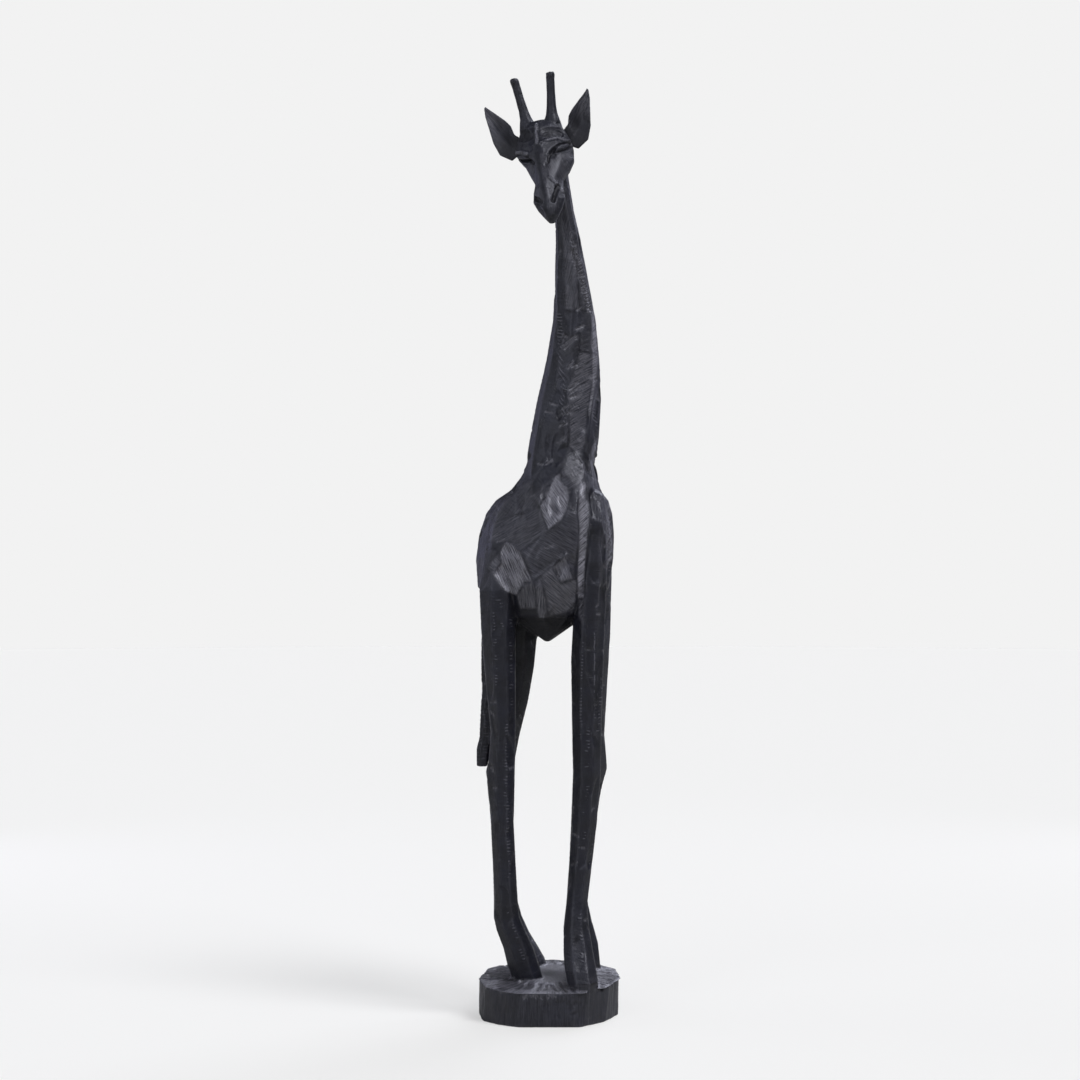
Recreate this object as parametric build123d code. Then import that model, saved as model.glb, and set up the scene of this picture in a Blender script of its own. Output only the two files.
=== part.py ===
"""Carved giraffe statue, one metre tall, standing on the stump of its own log.

Row frame: millimetres, +Z up, origin at the middle of the plinth's flat underside.
The giraffe faces -Y. "Left" and "right" are the animal's own, so its left side is at +X.

Pieces: one log carved into plinth, legs, body and neck; a head block let over the top of the
neck and held by a dowel; two ears and a tail, each glued on over its own pin.
"""
import math
import os

from build123d import *

os.makedirs("parts", exist_ok=True)

# Dowel and pins
NECK_DOWEL_R = 4.0
EAR_PIN_R = 1.75
TAIL_PIN_R = 2.5
GLUE_GAP = 0.05            # radial room for glue round the dowel and every pin
HOLE_SPARE = 1.0           # how much deeper a hole is than its pin, at each end

# Plinth
RIM_HEIGHT = 39.0          # height of the rim beside the origin
RIM_RISE = 0.05            # the top of the stump rises this much per millimetre backwards
RIM_LEAN = 2.0             # the stump leans this far to the animal's left
MOUND_RISE = 4.0           # the middle of the stump stands this far above its rim

# The head block's own frame: x to the animal's left, forward along the face's heading, up
HEAD_ORIGIN = (-4.5, 0, 916)
HEAD_YAW = math.radians(5.5)   # the face is turned towards the animal's right
HEAD_ROLL = math.radians(9.5)   # the crown leans towards the animal's right


def solid_of(rings):
    """A closed faceted solid through rings of points, all with the same number of points.

    Rings run from the bottom to the top, and each runs anticlockwise seen from above.
    """
    count = len(rings[0])
    faces = []

    def add(*corners):
        faces.append(Face(Wire.make_polygon([Vector(*c) for c in corners], close=True)))

    for low, high in zip(rings, rings[1:]):
        for i in range(count):
            j = (i + 1) % count
            add(low[i], low[j], high[j])
            add(low[i], high[j], high[i])
    for ring in (list(reversed(rings[0])), rings[-1]):
        middle = tuple(sum(point[axis] for point in ring) / count for axis in range(3))
        for i in range(count):
            add(ring[i], ring[(i + 1) % count], middle)
    return Solid(Shell(faces))


def limb(sections, bevel=0.28):
    """A faceted limb through level eight-sided sections (z, x_low, x_high, y_front, y_back)."""
    rings = []
    for z, x_low, x_high, y_front, y_back in sections:
        cut_x = bevel * (x_high - x_low)
        cut_y = bevel * (y_back - y_front)
        rings.append([
            (x_low + cut_x, y_front, z), (x_high - cut_x, y_front, z),
            (x_high, y_front + cut_y, z), (x_high, y_back - cut_y, z),
            (x_high - cut_x, y_back, z), (x_low + cut_x, y_back, z),
            (x_low, y_back - cut_y, z), (x_low, y_front + cut_y, z),
        ])
    return solid_of(rings)


def pin(radius, start, end, spare=0.0):
    """A round pin between two points, made longer by spare at each end."""
    direction = (Vector(*end) - Vector(*start)).normalized()
    length = (Vector(*end) - Vector(*start)).length
    plane = Plane(origin=Vector(*start) - direction * spare, z_dir=direction)
    return plane * Cylinder(
        radius, length + 2 * spare, align=(Align.CENTER, Align.CENTER, Align.MIN)
    )


def hole(radius, start, end):
    """The hole that a pin is glued into."""
    return pin(radius + GLUE_GAP, start, end, HOLE_SPARE)


# ---------------------------------------------------------------- the log

PLINTH_OUTLINE = [
    (-35, -78), (33, -78), (59, -50), (76, -6), (71, 38), (45, 70),
    (4, 82), (-38, 73), (-67, 40), (-76, -8), (-67, -50),
]


def plinth():
    """An uneven round of the log, chopped flat on its sides, with a low mound on top."""
    foot = [(x, y, 0) for x, y in PLINTH_OUTLINE]
    rim = [(x + RIM_LEAN, y, RIM_HEIGHT + RIM_RISE * y) for x, y in PLINTH_OUTLINE]
    mound = [(x * 0.6, y * 0.6, z + MOUND_RISE) for x, y, z in rim]
    return solid_of([foot, rim, mound])


def front_left_leg():
    return limb([
        (30, 22, 52, -69, -22), (42, 20, 52, -71, -24), (56, 17, 50, -66, -26),
        (72, 16, 47, -58, -24), (96, 16, 43, -49, -19), (120, 19, 41, -44, -16),
        (163, 22, 46, -45, -14), (205, 24, 51, -47, -14), (257, 26, 55, -50, -14),
        (311, 25, 56, -50, -12), (375, 24, 58, -52, -12), (430, 27, 60, -54, -8),
        (480, 34, 62, -55, -4), (525, 39, 62, -48, -2), (552, 45, 58, -34, -6),
    ])


def front_right_leg():
    return limb([
        (30, -36, -5, -32, 2), (42, -38, -6, -33, 0), (56, -43, -10, -35, -2),
        (74, -47, -16, -37, -5), (92, -54, -24, -38, -8), (106, -57, -30, -40, -10),
        (125, -57, -32, -41, -11), (163, -58, -34, -43, -12), (205, -60, -36, -45, -13),
        (250, -64, -35, -47, -13), (300, -60, -34, -48, -14), (350, -65, -34, -49, -12),
        (405, -70, -34, -50, -8), (450, -72, -30, -50, -2), (492, -66, -38, -38, 4),
    ])


def rear_left_leg():
    return limb([
        (30, 26, 56, 16, 58), (48, 27, 56, 18, 58), (68, 26, 54, 26, 60),
        (92, 23, 47, 32, 62), (112, 21, 43, 34, 62), (147, 24, 46, 36, 64),
        (184, 28, 50, 38, 66), (228, 35, 57, 38, 70), (256, 37, 64, 34, 74),
        (292, 36, 61, 28, 66), (350, 34, 64, 18, 68), (400, 30, 67, 10, 74),
        (450, 24, 68, 4, 78), (500, 26, 70, 8, 78), (530, 34, 69, 14, 66),
        (540, 42, 64, 20, 56),
    ])


def rear_right_leg():
    return limb([
        (30, -28, 1, 22, 60), (50, -29, -3, 24, 60), (62, -31, -10, 28, 60),
        (78, -38, -20, 32, 61), (96, -46, -28, 35, 62), (114, -51, -33, 36, 62),
        (147, -52, -35, 38, 64), (184, -56, -37, 40, 66), (226, -63, -39, 40, 70),
        (252, -67, -38, 34, 74), (290, -57, -31, 28, 66), (330, -52, -21, 22, 66),
        (365, -52, -15, 14, 68), (405, -56, -11, 8, 72), (450, -66, -14, 4, 78),
        (500, -68, -20, 8, 78), (524, -60, -30, 16, 66),
    ])


# Level outlines of the body, by height, anticlockwise from the middle of the chest.
BODY_OUTLINES = {
    395: [(-1, -22), (1, -20), (2, -12), (2.5, 4), (2.5, 26), (2, 44),
          (-0.5, 50), (-3, 44), (-4, 26), (-4, 4), (-3.5, -12), (-3, -18)],
    424: [(-7, -54), (22, -48), (34, -36), (44, -6), (46, 30), (34, 58),
          (0, 68), (-34, 60), (-46, 34), (-46, 2), (-42, -30), (-30, -44)],
    452: [(-14, -65), (22, -61), (37, -48), (64, -10), (66, 40), (42, 72),
          (0, 80), (-42, 74), (-66, 44), (-75, 6), (-60, -34), (-34, -52)],
    482: [(-12, -66), (18, -64), (38, -50), (69, -10), (70, 44), (44, 76),
          (0, 84), (-44, 78), (-69, 48), (-77, 6), (-62, -36), (-32, -58)],
    506: [(0, -63), (28, -61), (43, -53), (70, -8), (70, 42), (40, 74),
          (0, 82), (-40, 76), (-66, 46), (-74, 6), (-58, -30), (-28, -52)],
    530: [(10, -57), (28, -57), (44, -49), (68, -6), (69, 34), (34, 64),
          (0, 70), (-36, 64), (-58, 38), (-66, 4), (-52, -24), (-12, -50)],
    544: [(14, -51), (30, -52), (45, -44), (64, -4), (64, 26), (30, 54),
          (0, 60), (-32, 52), (-48, 32), (-56, 4), (-44, -21), (-10, -45)],
    556: [(14, -46), (33, -46), (47, -36), (56, -2), (54, 23), (28, 46),
          (4, 50), (-22, 44), (-34, 27), (-39, 4), (-32, -17), (-9, -40)],
    572: [(16, -40), (35, -37), (46, -25), (53, 0), (50, 21), (28, 41),
          (6, 44), (-15, 38), (-25, 23), (-28, 2), (-22, -15), (-5, -35)],
    600: [(18, -28), (30, -26), (40, -18), (46, 0), (44, 17), (28, 33),
          (10, 36), (-4, 31), (-12, 18), (-14, 2), (-10, -12), (2, -24)],
}


def body():
    """Chest, barrel and withers, with a keel along the belly."""
    return solid_of([[(x, y, z) for x, y in plan] for z, plan in BODY_OUTLINES.items()])


# Level sections of the neck: (z, left edge x, ridge x, right edge x, front y, back y).
NECK_SECTIONS = [
    (556, -26, 18, 50, -38, 42),
    (587, -23, 18, 52, -34, 40),
    (608, -20, 18, 54, -31, 38),
    (650, -12, 19, 57, -26, 37),
    (693, -2, 22, 55, -21, 36),
    (735, 5, 25, 51, -18, 34),
    (778, 7, 27, 43, -16, 31),
    (820, 8, 24, 35, -15, 28),
    (850, 7, 19, 28, -14, 25),
    (880, 2, 13, 23, -13, 22),
    (905, 0, 10, 20, -9, 18),
]


def neck():
    """A tapering, slightly bowed neck with a ridge down the throat and a flat mane side."""
    rings = []
    for z, left, ridge, right, front, back in NECK_SECTIONS:
        wide, deep = right - left, back - front
        rings.append([
            (ridge, front, z),
            (right - 0.14 * wide, front + 0.14 * deep, z),
            (right, front + 0.42 * deep, z),
            (right - 0.06 * wide, front + 0.70 * deep, z),
            (right - 0.34 * wide, back - 0.04 * deep, z),
            (left + 0.40 * wide, back, z),
            (left + 0.10 * wide, back - 0.22 * deep, z),
            (left, front + 0.46 * deep, z),
            (left + 0.09 * wide, front + 0.16 * deep, z),
        ])
    return solid_of(rings)


def whole_log():
    """Plinth, legs, body and neck as one solid, before any hole is bored in it."""
    log = body() + neck() + plinth()
    for leg in (front_left_leg(), front_right_leg(), rear_left_leg(), rear_right_leg()):
        log = log + leg
    return log


# ---------------------------------------------------------------- the head block


def head_point(x, forward, up):
    """A point of the head's own frame, in the row frame."""
    across = x * math.cos(HEAD_ROLL) - up * math.sin(HEAD_ROLL)
    height = x * math.sin(HEAD_ROLL) + up * math.cos(HEAD_ROLL)
    return (
        HEAD_ORIGIN[0] + across * math.cos(HEAD_YAW) - forward * math.sin(HEAD_YAW),
        HEAD_ORIGIN[1] - across * math.sin(HEAD_YAW) - forward * math.cos(HEAD_YAW),
        HEAD_ORIGIN[2] + height,
    )


# Level sections of the head, chin to crown: (up, middle x, half width, front, back).
HEAD_SECTIONS = [
    (-86, 0, 3, 56, 48), (-79, 0, 8, 60, 42), (-71, 0, 13, 61, 34), (-61, 0, 17, 59, 26),
    (-52, 0, 16, 55, 18), (-40, 2, 15, 49, 4), (-30, 4, 21, 44, -8), (-19, 5, 26, 38, -18),
    (-8, 2, 30, 31, -25), (2, 1, 30, 26, -28), (12, 0, 27, 18, -30), (24, 0, 22, 10, -26),
    (32, 0, 14, 2, -18),
]

# Sections of a horn, skull to tip: (up, x of the middle, forward of the middle, radius).
HORN_SECTIONS = [
    (22, 12, -9, 12), (31, 13.2, -8, 9), (37, 14, -8, 6.8), (45, 15, -8, 5.6),
    (60, 17, -8, 4.9), (73, 18.6, -8, 5.0), (79, 19.4, -8, 5.6), (82, 19.6, -8, 4.7),
]


def skull():
    rings = []
    for up, middle, half, front, back in HEAD_SECTIONS:
        deep = front - back
        plan = [
            (0, front), (0.5 * half, front - 0.08 * deep), (half, front - 0.38 * deep),
            (0.95 * half, back + 0.28 * deep), (0.5 * half, back), (-0.5 * half, back),
            (-0.95 * half, back + 0.28 * deep), (-half, front - 0.38 * deep),
            (-0.5 * half, front - 0.08 * deep),
        ]
        rings.append([head_point(middle + x, forward, up) for x, forward in plan])
    return solid_of(rings)


def horn(side):
    """One horn, side +1 on the animal's left and -1 on its right."""
    rings = []
    for up, x, forward, radius in HORN_SECTIONS:
        turns = [math.radians(22.5 + 45 * k) for k in range(8)]
        rings.append([
            head_point(side * x + radius * math.sin(t), forward + radius * math.cos(t), up)
            for t in turns
        ])
    return solid_of(rings)


# ---------------------------------------------------------------- ears, tail and pins

# Sections of an ear, root to tip, in the head's frame for the animal's left ear:
# (inner edge x, inner edge up, outer edge x, outer edge up, depth of the hollow, thickness)
EAR_SECTIONS = [
    (22, 17, 25, 2, 0.6, 10.0),
    (29, 24, 36, -4, 1.5, 8.0),
    (31, 33, 48, 4, 4.5, 5.5),
    (36, 40, 53, 18, 4.5, 4.8),
    (43, 47, 55, 33, 3.2, 4.2),
    (50, 54, 57, 47, 1.6, 3.4),
    (55, 59, 57, 57, 0.5, 2.2),
]
EAR_FORWARD = -8           # the root of an ear lies this far behind the head's origin
EAR_SWEEP = 0.10           # an ear leans back by this much of its reach outwards


def ear(side):
    """One cupped, leaf-shaped ear with a thick root."""
    rings = []
    for in_x, in_up, out_x, out_up, hollow, thick in EAR_SECTIONS:
        mid_x, mid_up = (in_x + out_x) / 2, (in_up + out_up) / 2
        base = EAR_FORWARD - EAR_SWEEP * (mid_x - 22)
        plan = [
            (in_x, in_up, base), (mid_x, mid_up, base - hollow), (out_x, out_up, base),
            (out_x, out_up, base - 0.35 * thick), (mid_x, mid_up, base - hollow - thick),
            (in_x, in_up, base - 0.35 * thick),
        ]
        ring = [head_point(side * x, forward, up) for x, up, forward in plan]
        rings.append(ring if side > 0 else list(reversed(ring)))
    return solid_of(rings)


def ear_pin_ends(side):
    return head_point(side * 14, EAR_FORWARD - 5, 6), head_point(side * 31, EAR_FORWARD - 5, 8)


# The tail hangs from the rump and lies along the outside of the rear right thigh.
TAIL_SECTIONS = [
    (257.5, -77, -64, 44, 60), (276, -77, -62, 44, 60), (292, -74, -56, 44, 58),
    (330, -72, -54, 42, 56), (370, -72, -54, 42, 58), (405, -72, -56, 44, 60),
    (436, -73, -56, 48, 66), (466, -66, -48, 58, 80), (490, -52, -34, 68, 90),
    (508, -38, -22, 70, 92), (520, -30, -18, 70, 86),
]


def tail():
    return limb(TAIL_SECTIONS, 0.25)


# ---------------------------------------------------------------- assembly

NECK_DOWEL_ENDS = (10, 4, 874), (10, 4, 928)
TAIL_PIN_ENDS = (-31, 60, 505), (-31, 87, 505)
EAR_PINS = {"left": ear_pin_ends(+1), "right": ear_pin_ends(-1)}

log = whole_log()
head = skull() + horn(+1) + horn(-1) - log
tail_piece = tail() - log - hole(TAIL_PIN_R, *TAIL_PIN_ENDS)
tail_piece = max(tail_piece.solids(), key=lambda s: s.volume)

nodes = {
    "carved_figure": log - hole(NECK_DOWEL_R, *NECK_DOWEL_ENDS)
    - hole(TAIL_PIN_R, *TAIL_PIN_ENDS),
    "neck_dowel": pin(NECK_DOWEL_R, *NECK_DOWEL_ENDS),
    "tail": tail_piece,
    "tail_pin": pin(TAIL_PIN_R, *TAIL_PIN_ENDS),
}
for side, ends in EAR_PINS.items():
    sign = 1 if side == "left" else -1
    blade = ear(sign) - head - hole(EAR_PIN_R, *ends)
    nodes[f"ear_{side}"] = max(blade.solids(), key=lambda s: s.volume)
    nodes[f"ear_pin_{side}"] = pin(EAR_PIN_R, *ends)
for ends in EAR_PINS.values():
    head = head - hole(EAR_PIN_R, *ends)
nodes["head"] = head - hole(NECK_DOWEL_R, *NECK_DOWEL_ENDS)

for name, shape in nodes.items():
    export_step(shape, f"parts/{name}.step")
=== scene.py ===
import math

import bmesh
import bpy
import numpy as np
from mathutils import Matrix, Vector


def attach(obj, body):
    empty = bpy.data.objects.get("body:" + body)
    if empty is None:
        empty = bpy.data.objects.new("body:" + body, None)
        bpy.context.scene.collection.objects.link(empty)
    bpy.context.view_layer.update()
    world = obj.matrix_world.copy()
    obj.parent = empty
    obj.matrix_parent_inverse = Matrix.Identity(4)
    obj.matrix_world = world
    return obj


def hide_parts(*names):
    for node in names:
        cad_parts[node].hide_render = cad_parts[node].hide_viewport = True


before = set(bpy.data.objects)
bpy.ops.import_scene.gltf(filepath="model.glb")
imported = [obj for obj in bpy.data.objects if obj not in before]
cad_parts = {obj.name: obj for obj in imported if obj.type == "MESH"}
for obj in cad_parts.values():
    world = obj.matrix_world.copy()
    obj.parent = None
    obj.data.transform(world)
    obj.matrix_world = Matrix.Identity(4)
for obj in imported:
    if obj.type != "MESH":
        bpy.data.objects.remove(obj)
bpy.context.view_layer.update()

mm = 0.001

# Carving works on a mesh's points in millimetres, in the same frame as the CAD.
# +Z is up the log, the giraffe faces -Y, and its own left side is at +X.


def softNoise(points, grain, seed):
    # Smooth random values from 0 to 1, lumps about one grain apart: large primes mix each cell's numbers.
    q = points / np.asarray(grain, float)
    cell = np.floor(q).astype(np.int64)
    t = q - cell
    t = t * t * (3 - 2 * t)
    total = np.zeros(len(points))
    for corner in range(8):
        step = np.array([corner & 1, (corner >> 1) & 1, (corner >> 2) & 1])
        c = cell + step
        h = (c[:, 0] * 73856093) ^ (c[:, 1] * 19349663) ^ (c[:, 2] * 83492791) ^ (seed * 2654435761)
        h = ((h & 0xFFFFFFFF) * 1274126177) & 0xFFFFFFFF
        h = ((h ^ (h >> 15)) * 2246822519) & 0xFFFFFFFF
        weight = np.prod(np.where(step == 1, t, 1 - t), axis=1)
        total += weight * (h / 0xFFFFFFFF)
    return total


def unit(v):
    v = np.asarray(v, float)
    return v / max(np.linalg.norm(v), 1e-9)


def awayFrom(x, z, start, end):  # how far points lie from a straight line between two places
    (x1, z1), (x2, z2) = start, end
    dx, dz = x2 - x1, z2 - z1
    t = np.clip(((x - x1) * dx + (z - z1) * dz) / (dx * dx + dz * dz), 0, 1)
    return np.hypot(x - x1 - t * dx, z - z1 - t * dz)


def pointsOf(mesh, what):  # "co" or "normal", one row for each point
    values = np.empty(len(mesh.vertices) * 3)
    mesh.vertices.foreach_get(what, values)
    return values.reshape(-1, 3)


def edgesOf(mesh):  # the points at both ends of every edge
    ends = np.empty(len(mesh.edges) * 2, dtype=np.int64)
    mesh.edges.foreach_get("vertices", ends)
    return ends.reshape(-1, 2).T


def store(mesh, name, values):  # one number at each point, for the materials to read
    layer = mesh.attributes.new(name, "FLOAT", "POINT")
    layer.data.foreach_set("value", values.astype(np.float32))


class Block:
    # A piece of wood on the bench: its points and normals in millimetres, and at each point what the
    # tools left there and where highlight and shade are painted, which the materials read.
    borderFade = 2.4     # mm over which a flat runs out into its neighbours
    flatFill = 0.9       # mm, the most that a flat fills a dip
    flatBite = 1.1       # mm, the most that it takes off a bump
    ringRadius = 55      # mm from the middle, where strokes that run outwards are as wide as the others

    def __init__(self, obj):
        self.obj = obj
        self.p = pointsOf(obj.data, "co") / mm
        self.n = pointsOf(obj.data, "normal")
        count = len(self.p)
        self.paintedHighlight = np.zeros(count)     # 1 where a highlight is painted on the last flat cuts
        self.paintedShade = np.zeros(count)      # 1 where shade is painted, down in cuts and hollows
        self.chatter = np.ones(count)    # how strongly the small knife's rows show
        self.lean = np.zeros(count)      # degrees that the strokes lean from upright, seen from the front
        self.sunk = np.ones(count)       # 0 where the strokes' pattern ignores depth, as on a broad flat
        self.ringed = np.zeros(count, bool)   # where the strokes run outwards from the middle

    def nearest(self, x, z):  # the point that shows at (x, z), seen from the front
        off = np.abs(self.p[:, 0] - x) + np.abs(self.p[:, 2] - z)
        near = np.where(off < off.min() + 3)[0]
        return near[np.argmin(self.p[near, 1])]

    def pare(self, centre, facing, depth, reach, paintedHighlight=0.0, along=None, slim=1.0):
        # one flat chisel cut, slim times longer along the stroke than across it
        facing = unit(facing)
        near = np.where(np.all(np.abs(self.p - centre) < reach * slim, axis=1))[0]
        near = near[self.n[near] @ facing > 0.2]
        step = self.p[near] - centre
        height = step @ facing + depth
        if along is not None:
            run = unit(along - facing * (along @ facing))
            step = step - (step @ run)[:, None] * run * (1 - 1 / slim)
        away = np.linalg.norm(step, axis=1) / reach
        share = np.clip((1 - away) * 4, 0, 1)
        cut = (height > 0) & (share > 0)
        self.p[near[cut]] -= (height * share)[cut, None] * facing
        # a highlight painted on the cut
        if paintedHighlight:
            self.paintedHighlight[near[cut]] = np.maximum(self.paintedHighlight[near[cut]], paintedHighlight * share[cut])

    def paredAllOver(self, chance, count, wobble, depths, reaches):  # small flats, scattered
        for k in chance.choice(len(self.p), count, replace=False):
            facing = self.n[k] + chance.normal(0, wobble, 3)
            self.pare(self.p[k].copy(), facing, chance.uniform(*depths), chance.uniform(*reaches))

    def facet(self, outline, paintedHighlight=0.0, lean=0.0, tilt=(0, 0), inset=0.0, flatten=1.0):
        # One broad flat, outlined as seen from the front: a plane through the wood inside the outline.
        x, z = self.p[:, 0], self.p[:, 2]
        corners = np.asarray(outline, float)
        low, high = corners.min(axis=0), corners.max(axis=0)
        boxed = (x > low[0]) & (x < high[0]) & (z > low[1]) & (z < high[1])
        some = np.where(boxed & (self.n[:, 1] < -0.12))[0]
        x, z = x[some], z[some]
        inside = np.zeros(len(some), bool)
        border = np.full(len(some), 1e9)      # mm from the outline
        for (x1, z1), (x2, z2) in zip(corners, np.roll(corners, -1, axis=0)):
            border = np.minimum(border, awayFrom(x, z, (x1, z1), (x2, z2)))
            if z1 != z2:
                crosses = (z < z1) != (z < z2)
                inside ^= crosses & (x < x1 + (z - z1) * (x2 - x1) / (z2 - z1))
        some, border = some[inside], border[inside]
        if len(some) < 6:
            return
        u, v = x[inside] - x[inside].mean(), z[inside] - z[inside].mean()
        depth = self.p[some, 1]
        fit, *_ = np.linalg.lstsq(np.stack([u, v, np.ones(len(u))], axis=1), depth, rcond=None)
        target = fit[2] + (fit[0] + tilt[0]) * u + (fit[1] + tilt[1]) * v + inset
        square = np.clip((-self.n[some, 1] - 0.15) / 0.35, 0, 1)    # 1 where the wood faces the front
        square *= np.clip(border / self.borderFade, 0, 1)
        cut = np.clip(target - depth, -self.flatFill, self.flatBite + 1.6 * inset)
        self.p[some, 1] += flatten * (cut * square)
        # a highlight painted over the flat
        self.paintedHighlight[some] = paintedHighlight * np.clip(square * 1.6, 0, 1)
        self.sunk[some] = 0
        self.lean[some] = lean

    def soften(self, times, share=0.5):  # rubs the sharpest steps down, as oiling and waxing do
        a, b = edgesOf(self.obj.data)
        shares = np.bincount(a, minlength=len(self.p)) + np.bincount(b, minlength=len(self.p))
        for _ in range(times):
            total = np.zeros_like(self.p)
            for axis in range(3):
                total[:, axis] = (np.bincount(a, self.p[b, axis], len(self.p))
                                  + np.bincount(b, self.p[a, axis], len(self.p)))
            step = total / np.maximum(shares, 1)[:, None] - self.p
            self.p += (step.T * share).T

    def strokes(self, lines, width, depth, paintedHighlight):  # gouge strokes given as x, z to x, z on the front
        for x1, z1, x2, z2 in lines:
            self.gouge(self.p[self.nearest(x1, z1)], self.p[self.nearest(x2, z2)], width, depth, paintedHighlight)

    def gouge(self, start, end, width, depth, paintedHighlight=0.0):  # one stroke of a gouge, with shade painted down in it and, where given, a painted highlight
        start, end = np.asarray(start, float), np.asarray(end, float)
        low = np.minimum(start, end) - width
        high = np.maximum(start, end) + width
        near = np.where(np.all((self.p > low) & (self.p < high), axis=1))[0]
        if len(near) == 0:
            return
        line = end - start
        t = np.clip(((self.p[near] - start) @ line) / max(line @ line, 1e-9), 0, 1)
        away = np.linalg.norm(self.p[near] - start - t[:, None] * line, axis=1) / width
        inside = away < 1
        near, t, away = near[inside], t[inside], away[inside]
        shape = 1 - away ** 2
        taper = np.minimum(1, 0.25 + 2.4 * np.sqrt(np.clip(t * (1 - t), 0, 1)))
        self.p[near] -= self.n[near] * (depth * shape * taper)[:, None]
        self.paintedShade[near] = np.maximum(self.paintedShade[near], shape * taper * min(1, depth / 1.2))
        if paintedHighlight:
            self.paintedHighlight[near] = np.maximum(self.paintedHighlight[near], paintedHighlight * shape)

    def finish(self):  # hands the points and what the tools left back to the mesh
        mesh = self.obj.data
        mesh.vertices.foreach_set("co", (self.p * mm).ravel())
        turn = np.radians(self.lean)
        x, y, z = self.p.T
        stroke = np.stack([x * np.cos(turn) - z * np.sin(turn), y * self.sunk,
                           x * np.sin(turn) + z * np.cos(turn)], axis=1)
        outwards = np.stack([np.arctan2(y, x) * self.ringRadius, z * 0, np.hypot(x, y)], axis=1)
        stroke[self.ringed] = outwards[self.ringed]
        layer = mesh.attributes.new("stroke", "FLOAT_VECTOR", "POINT")
        layer.data.foreach_set("vector", (stroke * mm).astype(np.float32).ravel())
        store(mesh, "paintedHighlight", self.paintedHighlight)
        store(mesh, "paintedShade", self.paintedShade)
        store(mesh, "chatter", self.chatter)
        mesh.update()


def applied(obj):  # the object with its modifiers worked into a plain mesh
    graph = bpy.context.evaluated_depsgraph_get()
    mesh = bpy.data.meshes.new_from_object(obj.evaluated_get(graph))
    old = obj.data
    obj.modifiers.clear()
    obj.data = mesh
    mesh.name = obj.name
    bpy.data.meshes.remove(old)
    return obj


def roughedOut(name, node, shape):
    # A copy of a CAD node's mesh, closed up and cut into even small faces, ready for carving.
    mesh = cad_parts[node].data.copy()
    obj = bpy.data.objects.new(name, mesh)
    bpy.context.scene.collection.objects.link(obj)
    work = bmesh.new()
    work.from_mesh(mesh)
    bmesh.ops.remove_doubles(work, verts=work.verts, dist=0.002 * mm)
    work.to_mesh(mesh)
    work.free()
    mesh.materials.clear()
    for layer in list(mesh.attributes):
        if not layer.is_internal and not layer.is_required:
            mesh.attributes.remove(layer)
    remesh = obj.modifiers.new("even faces", "REMESH")
    remesh.mode = "VOXEL"
    remesh.voxel_size = shape["voxel"] * mm
    smooth = obj.modifiers.new("soften the saw's arrises", "SMOOTH")
    smooth.factor = 0.5
    smooth.iterations = shape["rounding"]
    return applied(obj)


def thinned(obj, triangles):  # fewer faces where the wood is flat
    mesh = obj.data
    count = sum(len(face.vertices) - 2 for face in mesh.polygons)
    if count > triangles:
        decimate = obj.modifiers.new("thin", "DECIMATE")
        decimate.ratio = triangles / count
        applied(obj)


def markArrises(obj, arrisContrast):
    # the outer arrises get 0 to 1 of stain rubbed off by handling and of painted highlight, and the inner
    # ones 0 to 1 of painted shade
    mesh = obj.data
    p, n = pointsOf(mesh, "co") / mm, pointsOf(mesh, "normal")
    a, b = edgesOf(mesh)
    bend = np.zeros(len(p))
    shares = np.zeros(len(p))
    for start, end in ((a, b), (b, a)):
        step = p[end] - p[start]
        length = np.linalg.norm(step, axis=1) + 1e-6
        np.add.at(bend, start, -np.sum(step * n[start], axis=1) / length ** 2)
        np.add.at(shares, start, 1)
    bend = bend / np.maximum(shares, 1)
    spread = bend.copy()
    np.add.at(spread, a, bend[b])
    np.add.at(spread, b, bend[a])
    spread /= shares + 1
    store(mesh, "wearAndHighlight", np.clip(spread * arrisContrast, 0, 1))
    store(mesh, "creaseShade", np.clip(-spread * arrisContrast, 0, 1))


def shaded(obj, angle):  # smooth faces with crisp arrises
    mesh = obj.data
    mesh.polygons.foreach_set("use_smooth", [True] * len(mesh.polygons))
    mesh.set_sharp_from_angle(angle=math.radians(angle))


def addNode(tree, kind, inputs=None, **settings):
    node = tree.nodes.new(kind)
    for name, value in settings.items():
        setattr(node, name, value)
    for socket, value in (inputs or {}).items():
        if isinstance(value, bpy.types.Node):      # a node stands for its first output
            value = value.outputs[0]
        if isinstance(value, bpy.types.NodeSocket):
            tree.links.new(value, node.inputs[socket])
        else:
            node.inputs[socket].default_value = value
    return node


def clearedTree(owner):  # the nodes of a material or a world, with none in it yet
    owner.use_nodes = True
    owner.node_tree.nodes.clear()
    return owner.node_tree


def linear(hexColour):  # an sRGB hex colour as linear light
    parts = [int(hexColour[i:i + 2], 16) / 255 for i in (1, 3, 5)]
    return [c / 12.92 if c <= 0.04045 else ((c + 0.055) / 1.055) ** 2.4 for c in parts] + [1.0]


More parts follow.
